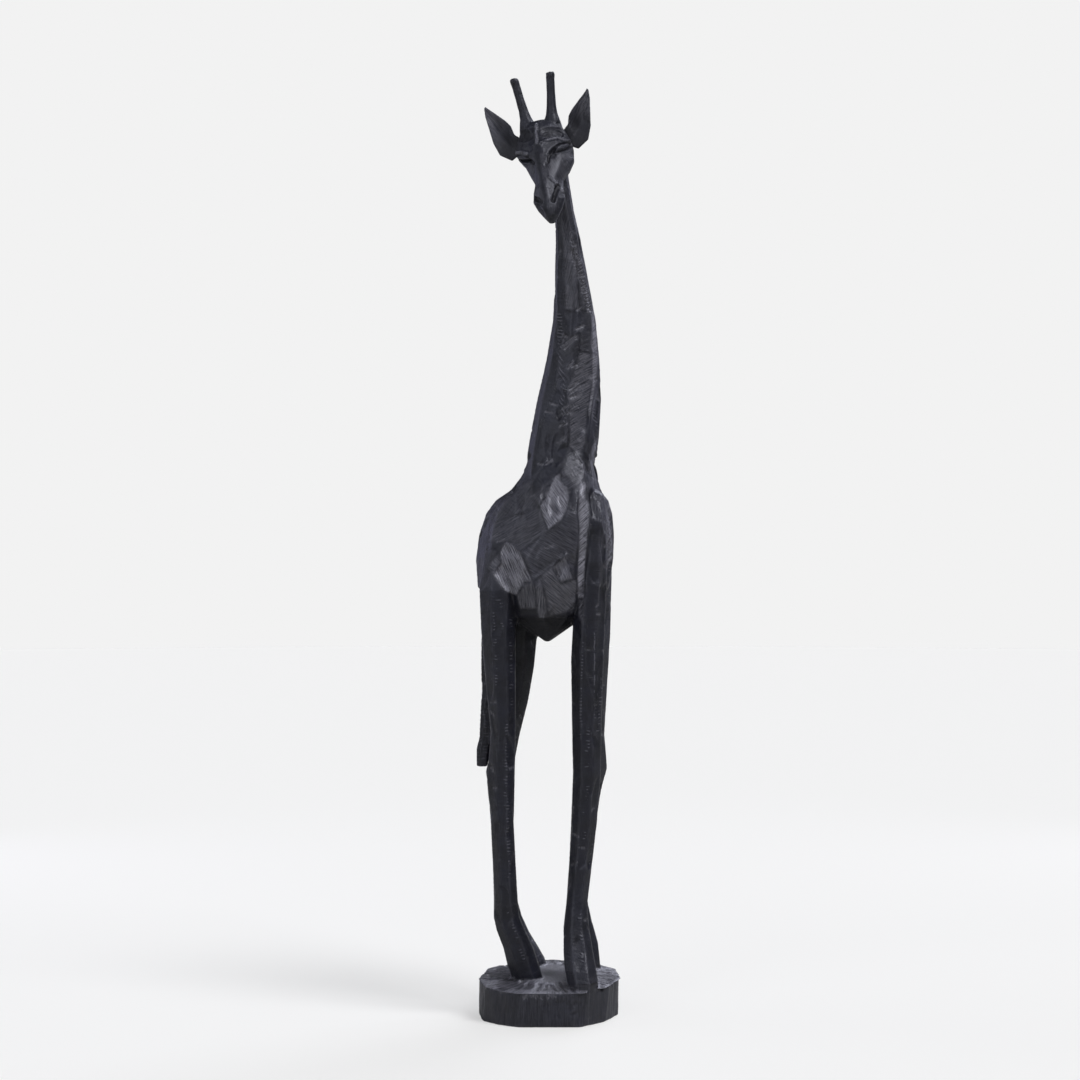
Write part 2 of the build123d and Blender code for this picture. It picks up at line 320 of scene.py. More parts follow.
# Black-stained hardwood, knife-carved and waxed: near-black with a cool grey bloom, satin on the
# flats, with painted highlight on chosen flats, cuts, ridges, ticks and rubbed arrises, and painted shade in
# hollows and creases.
blackWoodLook = {
    "stain": "#0b0c15",
    "thinStain": "#171926",
    # colour of the painted highlight
    "highlightPaint": "#9a999f",
    # colour of the rubbed stain and painted highlight on the outer arrises, also of the ticks' painted
    # highlight
    "rubbedAndHighlight": "#727279",
    "hollowShade": "#0b0a0e",       # colour of the painted shade in cuts, hollows and creases
    "tickHighlight": 0.30,         # how strongly a highlight is painted on each stroke of the small knife
    "fibre": 0.7,              # mm across one fibre, coarser than life so that it shows
    "fibreRun": 14.0,          # mm along it
    "streak": 0.85,            # mm across the marks of the chisel's edge
    "blotch": 26.0,            # mm across a cloud of thinner stain
    "patch": 8.0,              # mm across a patch of the small knife's rows
    "wander": 7.0,             # mm between the bends in those rows
    "wanderReach": 2.2,        # mm, how far they bend
    "knifePitch": 3.4,         # mm between two strokes of the knife, coarser than life so that they show
    "roughness": (0.36, 0.50),    # in the streaks' furrows, where wax stays, and on their crests
    "fibreRelief": 0.18,       # mm
    "streakRelief": 0.38,
    "chatterRelief": 0.32,
}


def blackStainedWood(name, look=blackWoodLook, shift=0.0, dull=0.0):
    # shift moves the clouds of stain, so that no two pieces match, and dull takes off some of the wax
    material = bpy.data.materials.new(name)
    tree = clearedTree(material)
    coord = addNode(tree, "ShaderNodeTexCoord").outputs["Object"]
    moved = addNode(tree, "ShaderNodeVectorMath", {0: coord, 1: (shift, shift * 2, shift * 3)})
    paintedHighlight, paintedShade, wearAndHighlight, creaseShade, chatterShare = (
        addNode(tree, "ShaderNodeAttribute", attribute_name=value).outputs["Fac"]
        for value in ("paintedHighlight", "paintedShade", "wearAndHighlight", "creaseShade", "chatter"))
    # stroke is the piece's own place, turned so that its third axis runs along the tool's strokes
    stroke = addNode(tree, "ShaderNodeAttribute", attribute_name="stroke").outputs["Vector"]
    along = look["fibre"] / look["fibreRun"]
    fibrePlace = addNode(tree, "ShaderNodeVectorMath", {0: stroke, 1: (1.0, 1.0, along)}, operation="MULTIPLY")
    fibres, streaks, blotches = (
        addNode(tree, "ShaderNodeTexNoise", {
            "Vector": place, "Scale": 1 / (look[size] * mm), "Detail": detail, "Roughness": 0.6})
        for place, size, detail in (
            (fibrePlace, "fibre", 3.0), (fibrePlace, "streak", 3.0), (moved, "blotch", 4.0)))
    # knife chatter: short bands across the strokes, broken up so that no two rows line up
    wander = addNode(tree, "ShaderNodeTexNoise", {
        "Vector": stroke, "Scale": 1 / (look["wander"] * mm), "Detail": 2.0}).outputs["Color"]
    wanderPlace = addNode(tree, "ShaderNodeVectorMath", {
        0: wander, 1: [look["wanderReach"] * mm] * 3, 2: stroke}, operation="MULTIPLY_ADD")
    bandScale = 2 * math.pi / 20 / (look["knifePitch"] * mm)    # a wave texture has 20 / 2 pi bands a metre
    chatter = addNode(tree, "ShaderNodeTexWave", {
        "Vector": wanderPlace, "Scale": bandScale, "Distortion": 0.5, "Detail": 1.0},
        wave_type="BANDS", bands_direction="Z", wave_profile="SIN").outputs["Fac"]
    patch = addNode(tree, "ShaderNodeTexNoise", {
        "Vector": moved, "Scale": 1 / (look["patch"] * mm), "Detail": 3.0})
    patchOn = addNode(tree, "ShaderNodeMapRange", {
        "Value": patch, "From Min": 0.46, "From Max": 0.6}, interpolation_type="SMOOTHSTEP")
    # up to 1, chatter is how much of the patches shows, and what it has over 1 is a row of stop cuts
    above = addNode(tree, "ShaderNodeMath", {0: chatterShare, 1: 1.0}, operation="SUBTRACT")
    row = addNode(tree, "ShaderNodeMath", {0: above, 1: 0.0}, operation="MAXIMUM")
    patchOn = addNode(tree, "ShaderNodeMath", {0: patchOn, 1: chatterShare, 2: row},
                      operation="MULTIPLY_ADD", use_clamp=True)
    chatterHere = addNode(tree, "ShaderNodeMath", {0: chatter, 1: patchOn}, operation="MULTIPLY")
    tick = addNode(tree, "ShaderNodeMapRange", {
        "Value": chatterHere, "From Min": 0.66, "From Max": 0.97}, interpolation_type="SMOOTHSTEP")

    cloud, streakOn, fibreOn = (
        addNode(tree, "ShaderNodeMapRange", {"Value": value, "From Min": low, "From Max": high})
        for value, low, high in ((blotches, 0.35, 0.7), (streaks, 0.36, 0.64), (fibres, 0.35, 0.7)))
    # painted highlight, in the chisel's streaks
    highlightOn = addNode(tree, "ShaderNodeMath", {0: paintedHighlight, 1: streakOn}, operation="MULTIPLY")
    # rubbed stain and painted highlight along the outer arrises
    wearAndHighlightOn = addNode(tree, "ShaderNodeMath", {0: wearAndHighlight, 1: fibreOn}, operation="MULTIPLY")
    # painted highlight on the knife's ticks, stronger in the rows of stop cuts
    tickHighlight = addNode(tree, "ShaderNodeMath", {0: row, 1: 0.35, 2: look["tickHighlight"]},
                        operation="MULTIPLY_ADD")
    tickOn = addNode(tree, "ShaderNodeMath", {0: tick, 1: tickHighlight}, operation="MULTIPLY")
    # painted shade along the inner arrises
    creaseShadeSoft = addNode(tree, "ShaderNodeMath", {0: creaseShade, 1: 0.4}, operation="MULTIPLY")
    # painted shade in cuts, hollows and along the inner arrises
    hollowShade = addNode(tree, "ShaderNodeMath", {0: paintedShade, 1: creaseShadeSoft}, operation="MAXIMUM")
    hollowShadeOn = addNode(tree, "ShaderNodeMath", {0: hollowShade, 1: 0.7}, operation="MULTIPLY")
    # the stain, with painted highlight, rubbed stain and painted shade laid over it
    colour = linear(look["stain"])
    for share, layer in ((cloud, "thinStain"), (highlightOn, "highlightPaint"), (wearAndHighlightOn, "rubbedAndHighlight"), (tickOn, "rubbedAndHighlight"),
                         (hollowShadeOn, "hollowShade")):
        colour = addNode(tree, "ShaderNodeMix", {
            "Factor": share, "A": colour, "B": linear(look[layer])}, data_type="RGBA").outputs["Result"]

    waxed, dry = look["roughness"]
    shine = addNode(tree, "ShaderNodeMapRange", {
        "Value": streaks, "From Min": 0.3, "From Max": 0.7, "To Min": waxed + dull, "To Max": dry + dull})
    shine = addNode(tree, "ShaderNodeMath", {       # where a highlight is painted the wood is a little shinier, and where shade is painted duller
        0: paintedHighlight, 1: -0.06, 2: shine}, operation="MULTIPLY_ADD")
    roughness = addNode(tree, "ShaderNodeMath", {0: hollowShade, 1: 0.10, 2: shine}, operation="MULTIPLY_ADD")

    relief = addNode(tree, "ShaderNodeBump", {
        "Height": fibres, "Strength": 0.6, "Distance": look["fibreRelief"] * mm})
    relief = addNode(tree, "ShaderNodeBump", {
        "Height": streaks, "Strength": 0.8, "Distance": look["streakRelief"] * mm, "Normal": relief})
    relief = addNode(tree, "ShaderNodeBump", {
        "Height": chatterHere, "Strength": 0.9, "Distance": look["chatterRelief"] * mm, "Normal": relief})
    shader = addNode(tree, "ShaderNodeBsdfPrincipled", {
        "Base Color": colour, "Roughness": roughness, "Normal": relief, "IOR": 1.5,
        "Coat Weight": 0.12, "Coat Roughness": 0.3})
    addNode(tree, "ShaderNodeOutputMaterial", {"Surface": shader})
    return material


# Turned beech pegs: pale, dry and even, and hidden inside the joints.
beechLook = {
    "fleck": "#b08a5c",
    "ground": "#cba878",
    "grain": 1.2,       # mm across a fleck
    "relief": 0.1,      # mm
}


def turnedBeech(look):
    material = bpy.data.materials.new("turnedBeech")
    tree = clearedTree(material)
    coord = addNode(tree, "ShaderNodeTexCoord").outputs["Object"]
    grain = addNode(tree, "ShaderNodeTexNoise", {
        "Vector": coord, "Scale": 1 / (look["grain"] * mm), "Detail": 3.0})
    colour = addNode(tree, "ShaderNodeMix", {
        "Factor": grain, "A": linear(look["fleck"]), "B": linear(look["ground"])},
        data_type="RGBA").outputs["Result"]
    relief = addNode(tree, "ShaderNodeBump", {
        "Height": grain, "Strength": 0.3, "Distance": look["relief"] * mm})
    shader = addNode(tree, "ShaderNodeBsdfPrincipled", {
        "Base Color": colour, "Roughness": 0.6, "Normal": relief, "IOR": 1.5})
    addNode(tree, "ShaderNodeOutputMaterial", {"Surface": shader})
    return material


def knifeChatterTree():
    # Rows of shallow scallops left by a knife, across the grain, all over a carved surface.
    tree = bpy.data.node_groups.new("knifeChatter", "GeometryNodeTree")
    sockets = tree.interface
    sockets.new_socket("Geometry", in_out="INPUT", socket_type="NodeSocketGeometry")
    for name in ("Pitch", "Depth", "Patch", "Seed"):
        sockets.new_socket(name, in_out="INPUT", socket_type="NodeSocketFloat")
    sockets.new_socket("Wood", in_out="INPUT", socket_type="NodeSocketMaterial")
    sockets.new_socket("Geometry", in_out="OUTPUT", socket_type="NodeSocketGeometry")
    given = addNode(tree, "NodeGroupInput").outputs
    place = addNode(tree, "GeometryNodeInputPosition")
    normal = addNode(tree, "GeometryNodeInputNormal")
    height = addNode(tree, "ShaderNodeSeparateXYZ", {0: place}).outputs[2]
    scale = addNode(tree, "ShaderNodeMath", {0: 0.25, 1: given["Pitch"]}, operation="DIVIDE")
    wander = addNode(tree, "ShaderNodeTexNoise", {      # the rows rise and fall, so none runs level
        "Vector": place, "W": given["Seed"], "Scale": scale, "Detail": 2.0}, noise_dimensions="4D")
    rows = addNode(tree, "ShaderNodeMath", {0: height, 1: given["Pitch"]}, operation="DIVIDE")
    rows = addNode(tree, "ShaderNodeMath", {0: wander, 1: 6.0, 2: rows}, operation="MULTIPLY_ADD")
    wave = addNode(tree, "ShaderNodeMath", {0: rows}, operation="FRACT")
    # a scallop is a shallow parabola, deepest midway between two ridges
    wave = addNode(tree, "ShaderNodeMath", {0: wave, 1: 0.5}, operation="SUBTRACT")
    scallop = addNode(tree, "ShaderNodeMath", {0: wave, 1: 2.0}, operation="POWER")
    scallop = addNode(tree, "ShaderNodeMath", {0: scallop, 1: -4.0, 2: 1.0}, operation="MULTIPLY_ADD")
    patchScale = addNode(tree, "ShaderNodeMath", {0: 1.0, 1: given["Patch"]}, operation="DIVIDE")
    patch = addNode(tree, "ShaderNodeTexNoise", {
        "Vector": place, "W": given["Seed"], "Scale": patchScale, "Detail": 2.0}, noise_dimensions="4D")
    patchOn = addNode(tree, "ShaderNodeMapRange", {
        "Value": patch, "From Min": 0.4, "From Max": 0.6}, interpolation_type="SMOOTHSTEP")
    cut = addNode(tree, "ShaderNodeMath", {0: scallop, 1: patchOn}, operation="MULTIPLY")
    cut = addNode(tree, "ShaderNodeMath", {0: cut, 1: given["Depth"]}, operation="MULTIPLY")
    inward = addNode(tree, "ShaderNodeMath", {0: cut, 1: -1.0}, operation="MULTIPLY")
    offset = addNode(tree, "ShaderNodeVectorMath", {0: normal, "Scale": inward}, operation="SCALE")
    moved = addNode(tree, "GeometryNodeSetPosition", {"Geometry": given["Geometry"], "Offset": offset})
    real = addNode(tree, "GeometryNodeRealizeInstances", {0: moved})
    painted = addNode(tree, "GeometryNodeSetMaterial", {"Geometry": real, "Material": given["Wood"]})
    addNode(tree, "NodeGroupOutput", {"Geometry": painted})
    return tree


knifeChatter = knifeChatterTree()


def chattered(obj, wood, scallops):
    modifier = obj.modifiers.new("knife chatter", "NODES")
    modifier.node_group = knifeChatter
    pitch, depth, patch, seed = scallops
    values = {"Pitch": pitch * mm, "Depth": depth * mm, "Patch": patch * mm, "Seed": float(seed),
              "Wood": wood}
    for item in knifeChatter.interface.items_tree:
        if item.in_out == "INPUT" and item.name in values:
            modifier[item.identifier] = values[item.name]
    applied(obj)


def handedOver(block, node, wood, shape):  # the carved piece takes its CAD node's place
    block.finish()
    obj = block.obj
    chattered(obj, wood, shape["scallops"])
    if "triangles" in shape:
        thinned(obj, shape["triangles"])
    markArrises(obj, shape["arrisContrast"])
    shaded(obj, shape["crispAngle"])
    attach(obj, "root")
    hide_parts(node)
    return obj


logWood = blackStainedWood("blackStainedLog")
headWood = blackStainedWood("blackStainedHead", shift=0.31, dull=0.08)
earWood = blackStainedWood("blackStainedEars", shift=0.57)
tailWood = blackStainedWood("blackStainedTail", shift=0.83)
pinWood = turnedBeech(beechLook)
print("stage: materials ready")


logShape = {
    "voxel": 1.35,            # mm, the finest cut that shows
    "rounding": 1,            # passes that take off the sawn arrises
    "triangles": 196000,
    "rimHeight": 39.0,        # mm, the stump's rim
    # the stump's corners, x and y in mm
    "corners": [(-35, -78), (33, -78), (59, -50), (76, -6), (71, 38), (45, 70), (4, 82), (-38, 73),
                (-67, 40), (-76, -8), (-67, -50)],
    "cornerWidth": 24,        # mm either side of a corner
    "cornerCut": 2.8,         # mm taken off it
    "rimGouges": 74,
    "pecks": 30,              # marks in the rough patch on the stump's front
    "pecked": ((19, 24), (9, 6)),         # mm, x and z of the patch's middle, and how far it spreads
    "rimStops": 13,           # stop cuts under the rim
    "neckFoot": 557.0,        # mm
    "neckBlend": 9.0,         # mm over which the neck runs into the chest
    "belly": 421.0,           # mm, under which the belly's cut turns inwards, into shade
    "keel": (380.0, 31.0),    # mm, just under the keel's tip, and half the cut's width
    "chatter": 0.4,           # how strongly the small knife's rows show away from the stop cuts' rows
    "stopCuts": 1.7,          # and how strongly the stop cuts' rows show
    "footLean": (-19, 14),    # degrees, of the strokes on the right and left feet, down their slope
    "ridge": ((23, 826), (47, 744)),      # mm, the notched ridge down the left of the throat
    "ridgeCuts": 26,
    "backFlats": 150,
    "smallFlats": 420,        # scattered small flat cuts
    "nicks": 320,             # short stop cuts left by the corner of the chisel
    "scallops": (5.2, 0.24, 20.0, 3),     # the knife's: pitch, depth and patch in mm, and a seed
    "arrisContrast": 4.0,           # how readily an arris gets rubbed stain and painted highlight, or inside, painted shade
    "crispAngle": 30,         # degrees
    "seed": 11,
    # Broad flats as seen from the front: outline (x, z) in mm, how strongly a highlight is painted on it, how
    # many degrees the strokes lean from upright, and where given, extra slope across and up, and mm that it is
    # sunk by.
    "flats": [
        # the chest and belly
        ([(-60, 520), (-9, 537), (-5, 525), (0, 512), (-29, 490), (-45, 501), (-64, 500)], 0.22, 60),
        ([(0, 512), (14, 522), (20, 535), (31, 530), (32, 515), (31, 490), (26, 462), (18, 487), (4, 474),
          (-8, 465), (-16, 459), (-29, 490)], 0.20, -60, (0, 0), 0.8),
        ([(-9, 537), (-4, 545), (3, 560), (-8, 570), (-26, 562), (-50, 541), (-60, 520)], 0.15, 40),
        ([(-45, 501), (-38, 498), (-29, 490), (-16, 459), (-24, 459), (-33, 444), (-44, 448), (-57, 467),
          (-49, 478), (-50, 490)], 1.0, -24, (-0.25, 0.10), 1.0),
        ([(-24, 459), (-16, 459), (-13, 450), (-12, 430), (-30, 430), (-33, 444)], 0.4, -8, (0, 0), 0.6),
        ([(-62, 478), (-50, 490), (-49, 478), (-57, 467), (-64, 472)], 0.3, -50, (0, 0), 0.5),
        ([(1, 556), (9, 574), (21, 567), (22, 545), (20, 535), (14, 522), (0, 512), (-5, 525), (-9, 537),
          (-4, 545)], 0.9, -32, (0.12, 0.15), 1.0),
        ([(18, 487), (26, 461), (20, 460), (13, 457), (4, 474), (12, 480)], 0.6, -20, (-0.3, 0.3), 1.0),
        ([(4, 474), (13, 457), (26, 461), (30, 461), (30, 441), (27, 430), (0, 420), (-2, 440), (-8, 465)],
         0.45, -50, (0.1, 0), 0.3),
        ([(-13, 455), (-8, 465), (-2, 440), (0, 420), (-10, 418), (-12, 430)], 0.55, 4),
        # beside and on the front left leg
        ([(33, 570), (40, 561), (41, 545), (44, 541), (43, 520), (41, 500), (39, 480), (38, 460), (37, 441),
          (31, 441), (30, 461), (31, 490), (32, 515), (31, 530)], 1.0, 48, (0, 0), 0.4),
        ([(31, 441), (37, 441), (37, 410), (31, 424)], 0.5, 40, (0, 0), 0.2),
        ([(44, 552), (57, 540), (60, 500), (60, 430), (58, 360), (50, 330), (40, 360), (38, 440), (39, 480),
          (43, 520)], 0.0, 90),
        ([(60, 545), (68, 538), (70, 490), (61, 480), (60, 500)], 0.6, 30),
        ([(60, 474), (61, 480), (70, 491), (70, 483), (63, 475)], 1.0, 50, (0, 0), 1.5),
        # the neck
        ([(4, 878), (10, 878), (15, 810), (17, 780), (18, 745), (16, 715), (6, 700), (8, 745)],
         0.0, 10, (0, 0), 0.6),
        ([(10, 878), (17, 878), (27, 812), (31, 795), (32, 770), (33, 745), (18, 745), (17, 780), (15, 810)],
         0.3, 12),
        ([(17, 878), (25, 878), (36, 805), (41, 780), (46, 755), (46, 745), (33, 745), (32, 770), (31, 795),
          (27, 812)], 0.15, 50, (0, 0), 0.3),
        ([(18, 745), (33, 745), (33, 700), (30, 690), (20, 660), (8, 660), (6, 700), (16, 715)], 0.05, 55),
        ([(33, 745), (46, 745), (46, 700), (33, 700)], 0.08, 70, (0.08, 0), 0.2),
        ([(46, 755), (49, 755), (53, 720), (54, 698), (46, 700), (46, 745)], 0.9, 40, (0.1, 0), 0.3),
        ([(33, 700), (46, 700), (46, 690), (46, 665), (42, 640), (40, 605), (34, 590), (22, 600), (22, 640),
          (20, 660), (30, 690)], 0.35, 60, (0, 0), 0.3),
        ([(46, 700), (54, 698), (52, 675), (48, 650), (44, 626), (42, 640), (46, 665)], 0.95, 60),
        ([(8, 660), (20, 660), (22, 640), (22, 600), (14, 573), (-2, 562), (-17, 549), (-15, 590), (-8, 620)],
         0.0, 50),
        ([(22, 600), (34, 590), (42, 580), (38, 563), (20, 553), (12, 566)], 0.2, 60),
        ([(52, 675), (57, 650), (55, 620), (46, 600), (42, 580), (34, 590), (40, 605), (44, 626), (48, 650)],
         0.0, 30, (0.2, 0), 0.8),
        ([(46, 600), (55, 615), (52, 590), (54, 549), (47, 566), (42, 580)], 0.5, 10),
    ],
    # single strokes on the neck and shoulders, x and z of both ends in mm
    "strokes": [
        (34, 745, 44, 755), (31, 725, 41, 728), (13, 707, 28, 720), (15, 703, 33, 716), (18, 682, 28, 692),
        (28, 684, 53, 697), (25, 660, 36, 671), (26, 657, 37, 665), (25, 652, 40, 657), (12, 640, 20, 645),
        (12, 634, 21, 638), (-4, 582, 1, 587), (32, 590, 38, 582), (8, 604, 17, 613), (10, 622, 18, 626),
        (-50, 503, -56, 500), (62, 510, 66, 515), (62, 520, 66, 526), (62, 495, 66, 497),
    ],
    # rows of short stop cuts down beside an arris: x and z of both ends and half the row's width, in mm
    "stopRows": [
        (-39, 420, -38, 325, 2.6), (-43, 322, -44, 235, 2.4), (-43, 232, -40, 150, 2.8),
        (-44, 120, -24, 60, 2.8), (33, 112, 36, 66, 2.2),
        (-57, 448, -54, 350, 2.2), (-50, 440, -47, 405, 2.4),
        (41, 552, 38, 495, 3.2), (37, 488, 35, 432, 2.8),
        (48, 405, 50, 318, 3.4), (36, 395, 33, 300, 1.8), (42, 306, 38, 190, 2.8), (47, 185, 44, 110, 3.2),
        (24, 826, 33, 790, 3.4), (33, 790, 46, 744, 4.2),
        (12, 740, 16, 620, 5.0), (49, 640, 54, 580, 3.0),
        (64, 530, 66, 440, 2.2), (58, 380, 52, 300, 2.4),
    ],
}


def carveStump(block, shape, chance):
    # gouge strokes run outwards over the top of the stump, and its sides show the split grain
    p, rim = block.p, shape["rimHeight"]
    angle = np.arctan2(p[:, 1], p[:, 0])
    radius = np.hypot(p[:, 0], p[:, 1])
    outward = np.stack([np.cos(angle), np.sin(angle), angle * 0], axis=1)
    side = (p[:, 2] < rim + 4) & (radius > 60) & (block.n[:, 2] < 0.6)
    top = (p[:, 2] < rim + 14) & (block.n[:, 2] > 0.55)
    block.chatter[p[:, 2] < rim + 8] = 0.15
    block.ringed |= top
    block.paintedHighlight[top] = 0.75 * np.clip((radius[top] - 4) / 14, 0, 1)    # a highlight painted over the top, less of it in the middle
    # a faint painted highlight on the sides
    block.paintedHighlight[side] = 0.10
    around = np.stack([angle * 75, p[:, 2] / 16, radius * 0], axis=1)    # mm round the side, at its radius
    split = softNoise(around, (2.6, 1, 1), 5) * 0.7 + softNoise(around, (6.5, 1, 1), 6)
    p[side] -= outward[side] * (0.75 * split[side])[:, None]
    for x, y in shape["corners"]:      # the hatchet took the corners off
        out = unit((x, y, 0))
        far = np.max(p[side] @ out)
        column = side & (np.abs(p @ np.cross(out, (0, 0, 1))) < shape["cornerWidth"])
        over = p[:, 0] * out[0] + p[:, 1] * out[1] - (far - shape["cornerCut"])
        p[column] -= np.clip(over[column], 0, None)[:, None] * out
    for k in range(shape["rimGouges"]):
        turn = 2 * math.pi * (k + chance.uniform(-0.4, 0.4)) / shape["rimGouges"]
        inner, outer = chance.uniform(34, 54), chance.uniform(64, 80)
        slope = 0.05 * math.sin(turn)      # the stump's top rises towards the back
        start = (inner * math.cos(turn), inner * math.sin(turn), rim + 3.5 + slope * inner)
        end = (outer * math.cos(turn), outer * math.sin(turn), rim - 0.5 + slope * outer)
        block.gouge(start, end, chance.uniform(2.4, 4.6), chance.uniform(0.7, 2.2),
                    paintedHighlight=chance.uniform(-0.8, 1.0))     # a highlight painted on the gouge, none below 0
    (midX, midZ), (wide, high) = shape["pecked"]
    for k in range(shape["pecks"]):      # pecked with the corner of the gouge
        x, z = chance.normal(midX, wide), chance.normal(midZ, high)
        block.strokes([(x - 1.2, z + 0.5, x + 1.2, z - 1.5)], 2.2, chance.uniform(0.2, 0.6), 0)
    for k in range(shape["rimStops"]):
        x = -27 + 2.6 * k
        block.strokes([(x, 31.5, x + 0.8, 35.5)], 1.4, 0.5, 0.6)


def carveLog(shape):
    block = Block(roughedOut("carvedFigure", "carved_figure", shape))
    chance = np.random.default_rng(shape["seed"])
    for flat in shape["flats"]:
        block.facet(*flat)
    block.soften(2)
    blend = np.abs(block.p[:, 2] - shape["neckFoot"]) / shape["neckBlend"]
    block.soften(30, 0.5 * np.clip(1.4 - blend, 0, 1))
    block.strokes(shape["strokes"], 1.6, 0.9, 0.9)
    block.chatter[:] = shape["chatter"]
    x, z = block.p[:, 0], block.p[:, 2]
    ahead = (block.n[:, 1] < -0.45) & ((block.p[:, 1] < 0) | (z > shape["belly"]))
    for x1, z1, x2, z2, half in shape["stopRows"]:
        row = np.clip(1.6 - 1.6 * awayFrom(x, z, (x1, z1), (x2, z2)) / half, 0, 1)
        row = np.maximum(block.chatter, shape["stopCuts"] * row)
        block.chatter = np.where(ahead, row, block.chatter)
    foot = (z < 122) & (z > shape["rimHeight"] + 9)
    block.lean[foot] = np.where(x[foot] < 0, *shape["footLean"])
    (topX, topZ), (footX, footZ) = shape["ridge"]
    for k in range(shape["ridgeCuts"]):
        t = k / (shape["ridgeCuts"] - 1)
        cutX, cutZ = topX + (footX - topX) * t ** 0.8, topZ + (footZ - topZ) * t
        half = chance.uniform(2.0, 3.6)
        line = (cutX - half, cutZ - 0.8, cutX + half, cutZ + 1.4)
        block.strokes([line], 1.4, chance.uniform(0.7, 1.3), 1.0)
    # longer, broader cuts down the back
    behind = np.where((block.n[:, 1] > 0.4) & (block.p[:, 2] > shape["rimHeight"] + 20))[0]
    for k in chance.choice(behind, shape["backFlats"], replace=False):
        facing = block.n[k] + chance.normal(0, 0.10, 3)
        run = np.array([0.25 * chance.normal(), 0.25 * chance.normal(), 1.0])
        block.pare(block.p[k].copy(), facing, chance.uniform(0.4, 0.8), chance.uniform(8, 14),
                   paintedHighlight=chance.uniform(0.0, 0.6), along=run, slim=2.4)
    for k in chance.choice(len(block.p), shape["smallFlats"], replace=False):
        centre = block.p[k].copy()
        if centre[2] < shape["rimHeight"] + 9:
            continue
        facing = block.n[k] + chance.normal(0, 0.06, 3)
        run = np.array([0.35 * chance.normal(), 0.35 * chance.normal(), 1.0])
        block.pare(centre, facing, chance.uniform(0.25, 0.6), chance.uniform(4, 8), along=run, slim=3.0)
    for k in chance.choice(len(block.p), shape["nicks"], replace=False):
        centre = block.p[k].copy()
        if centre[2] < shape["rimHeight"] + 21:
            continue
        across = unit(np.cross(block.n[k], (0.5 * chance.normal(), 0.5 * chance.normal(), 1)))
        half = chance.uniform(1.5, 5)
        block.gouge(centre - across * half, centre + across * half, 1.6, chance.uniform(0.3, 0.7),
                    paintedHighlight=chance.uniform(0, 0.9))
    carveStump(block, shape, chance)
    foot, half = shape["keel"]      # painted shade on the cut under the belly, with no painted highlight
    under = (block.p[:, 2] < shape["belly"]) & (block.p[:, 2] > foot) & (np.abs(block.p[:, 0]) < half)
    under &= (block.n[:, 2] < -0.05) & (block.p[:, 1] < 10)
    block.paintedShade[under] = 1
    block.paintedHighlight[under] = 0
    return handedOver(block, "carved_figure", logWood, shape)


figure = carveLog(logShape)
print("stage: log carved,", len(figure.data.polygons), "faces")


headShape = {
    "voxel": 0.8,                   # mm
    "rounding": 12,
    "origin": (-4.5, 0.0, 916.0),   # mm, the point that the head is turned about
    "yaw": 5.5,                     # degrees
    "roll": 9.5,
    "hornEnds": 66,                 # mm above the origin, from where the horns are left rough
    "smallFlats": 150,
    "chatter": 0.08,
    "scallops": (2.8, 0.07, 12.0, 7),
    "arrisContrast": 2.2,
    "crispAngle": 40,               # degrees
    "seed": 23,
    # The face as seen from the front, in mm: first the broken lines of its ridges, x and z.
    "crest": [(-13, 941), (-12.5, 928), (-12, 919)],
    "noseBridge": [(-11, 915), (-9.5, 899), (-7, 879), (-3, 858), (1, 842)],
    # a line of painted highlight beside the nose bridge
    "noseHighlight": [(-6, 905), (-5, 890), (-2, 872), (3, 850)],
    "leftBrow": [(-8, 917), (-1, 922.5), (10, 925.5), (22, 923)],
    "rightBrow": [(-23, 908.5), (-30, 911.5), (-39, 914)],
    "muzzleEdge": [(1.5, 880), (8.5, 873), (15.5, 865)],
    # cheeks: x, z, half the width and height
    "cheeks": [(11, 888, 20, 26), (-21, 884, 12, 22)],
    # hollows either side of the crest: x, z, half the width and height, depth, how dark the shade painted in
    # them is
    "hollows": [(-24, 930, 10, 8, 3.2, 0.75), (4.5, 932, 15, 7.5, 3.2, 0.75)],
    # eyes: x, z, half the length and height, degrees of tilt, how proud the eye is and how deep its lids
    "eyes": [(14.5, 915.2, 10.0, 3.4, 27, 1.8, 2.0), (-29.0, 905.5, 8.5, 2.6, -22, 1.2, 1.6)],
    # slits, with shade painted in them: broken line, half the width, depth
    "slits": [
        ([(7, 912.5), (3.3, 908.5), (0.8, 903.5), (-0.2, 897)], 2.2, 2.6),      # under the eyes
        ([(-36, 905.5), (-25.5, 901.8), (-19, 900.6), (-14.5, 897)], 2.0, 2.2),
        ([(5.2, 854), (8, 862), (10.4, 870.5)], 3.0, 3.6),                      # nostrils
        ([(-16.5, 860.5), (-12, 857), (-7.2, 853)], 3.0, 3.4),
    ],
    # flats: outline, how strongly a highlight is painted on it, how many degrees the strokes lean
    "flats": [
        ([(-3, 892), (3, 902), (12, 907), (24, 911), (27, 908), (23, 891), (19, 869), (15, 866), (8, 874),
          (1, 881)], 0.2, -28),
        ([(-28, 898), (-17, 897), (-14, 891), (-13.5, 872), (-18, 876), (-23, 885)], 0.2, 15),
        ([(-4, 846), (-9, 851), (-17, 862), (-15, 868), (-8, 870), (-4, 858)], 0.15, 5),
        ([(-3, 846), (1, 856), (4, 852), (13, 858), (12, 848), (4, 838)], 0.12, -10),
    ],
}


